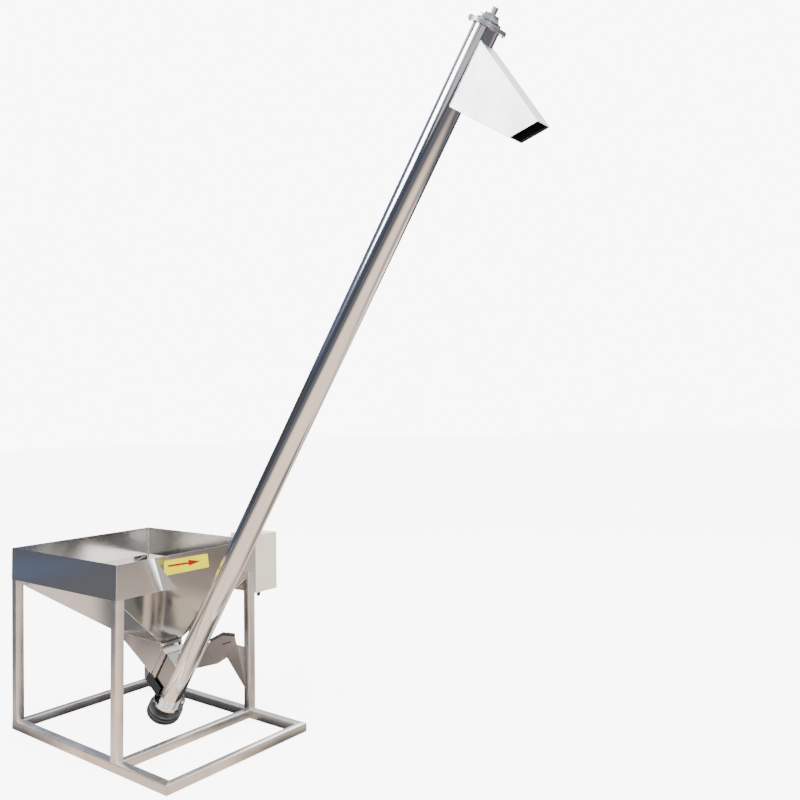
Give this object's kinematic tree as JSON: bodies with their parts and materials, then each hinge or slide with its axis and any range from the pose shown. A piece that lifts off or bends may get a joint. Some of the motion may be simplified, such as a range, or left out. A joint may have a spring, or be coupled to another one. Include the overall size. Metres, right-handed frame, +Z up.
{
  "type": "screw conveyor",
  "caption": "Inclined stainless screw conveyor: feed hopper on a tube frame, leaning screw tube with a turning screw, discharge chute at the head, belt pulley at the foot, control box.",
  "frame": {"origin": "on the floor, under the middle of the whole object's bounding box", "axes": "+Z up, +X the way the tube leans, +Y across to the side with the control box"},
  "size_m": [2.8408, 0.88, 2.9072],
  "materials": {
    "frame_steel": "satin stainless square tube",
    "sheet_steel": "mill-finish stainless sheet",
    "tube_steel": "polished stainless tube",
    "chute_steel": "matt stainless sheet",
    "screw_steel": "plain stainless",
    "cast_metal": "grey cast and machined",
    "black_iron": "black",
    "box_paint": "beige powder coat",
    "black_plastic": "matt black",
    "black_rubber": "matt black"
  },
  "bodies": {
    "machine": {"base_rail_left": "frame_steel", "base_rail_right": "frame_steel", "base_rail_rear": "frame_steel", "base_rail_front": "frame_steel", "base_crossbar": "frame_steel", "leg_rear_left": "frame_steel", "leg_front_left": "frame_steel", "leg_rear_right": "frame_steel", "leg_front_right": "frame_steel", "hopper_rear": "sheet_steel", "hopper_left": "sheet_steel", "hopper_right": "sheet_steel", "hopper_front": "sheet_steel", "throat_side_left": "sheet_steel", "throat_side_right": "sheet_steel", "throat_slope": "sheet_steel", "throat_front": "sheet_steel", "inlet_collar": "sheet_steel", "inlet_box": "sheet_steel", "inlet_end_cap": "black_rubber", "screw_tube": "tube_steel", "head_plate": "cast_metal", "head_bearing": "cast_metal", "foot_plate": "tube_steel", "foot_bearing": "cast_metal", "chute_side_left": "chute_steel", "chute_side_right": "chute_steel", "chute_roof": "chute_steel", "chute_floor": "chute_steel", "motor_bracket": "sheet_steel", "control_mount": "box_paint", "control_case": "box_paint", "control_lid": "box_paint", "cable_gland": "black_plastic"},
    "screw": {"screw_shaft": "screw_steel", "screw_flight": "screw_steel", "drive_pulley": "black_iron"}
  },
  "joints": [
    {"name": "screw_turn", "type": "hinge", "parent": "machine", "child": "screw", "pos_m": [-0.7894, -0.07, 0], "axis": [0.5736, 0, 0.8192], "continuous": true}
  ]
}
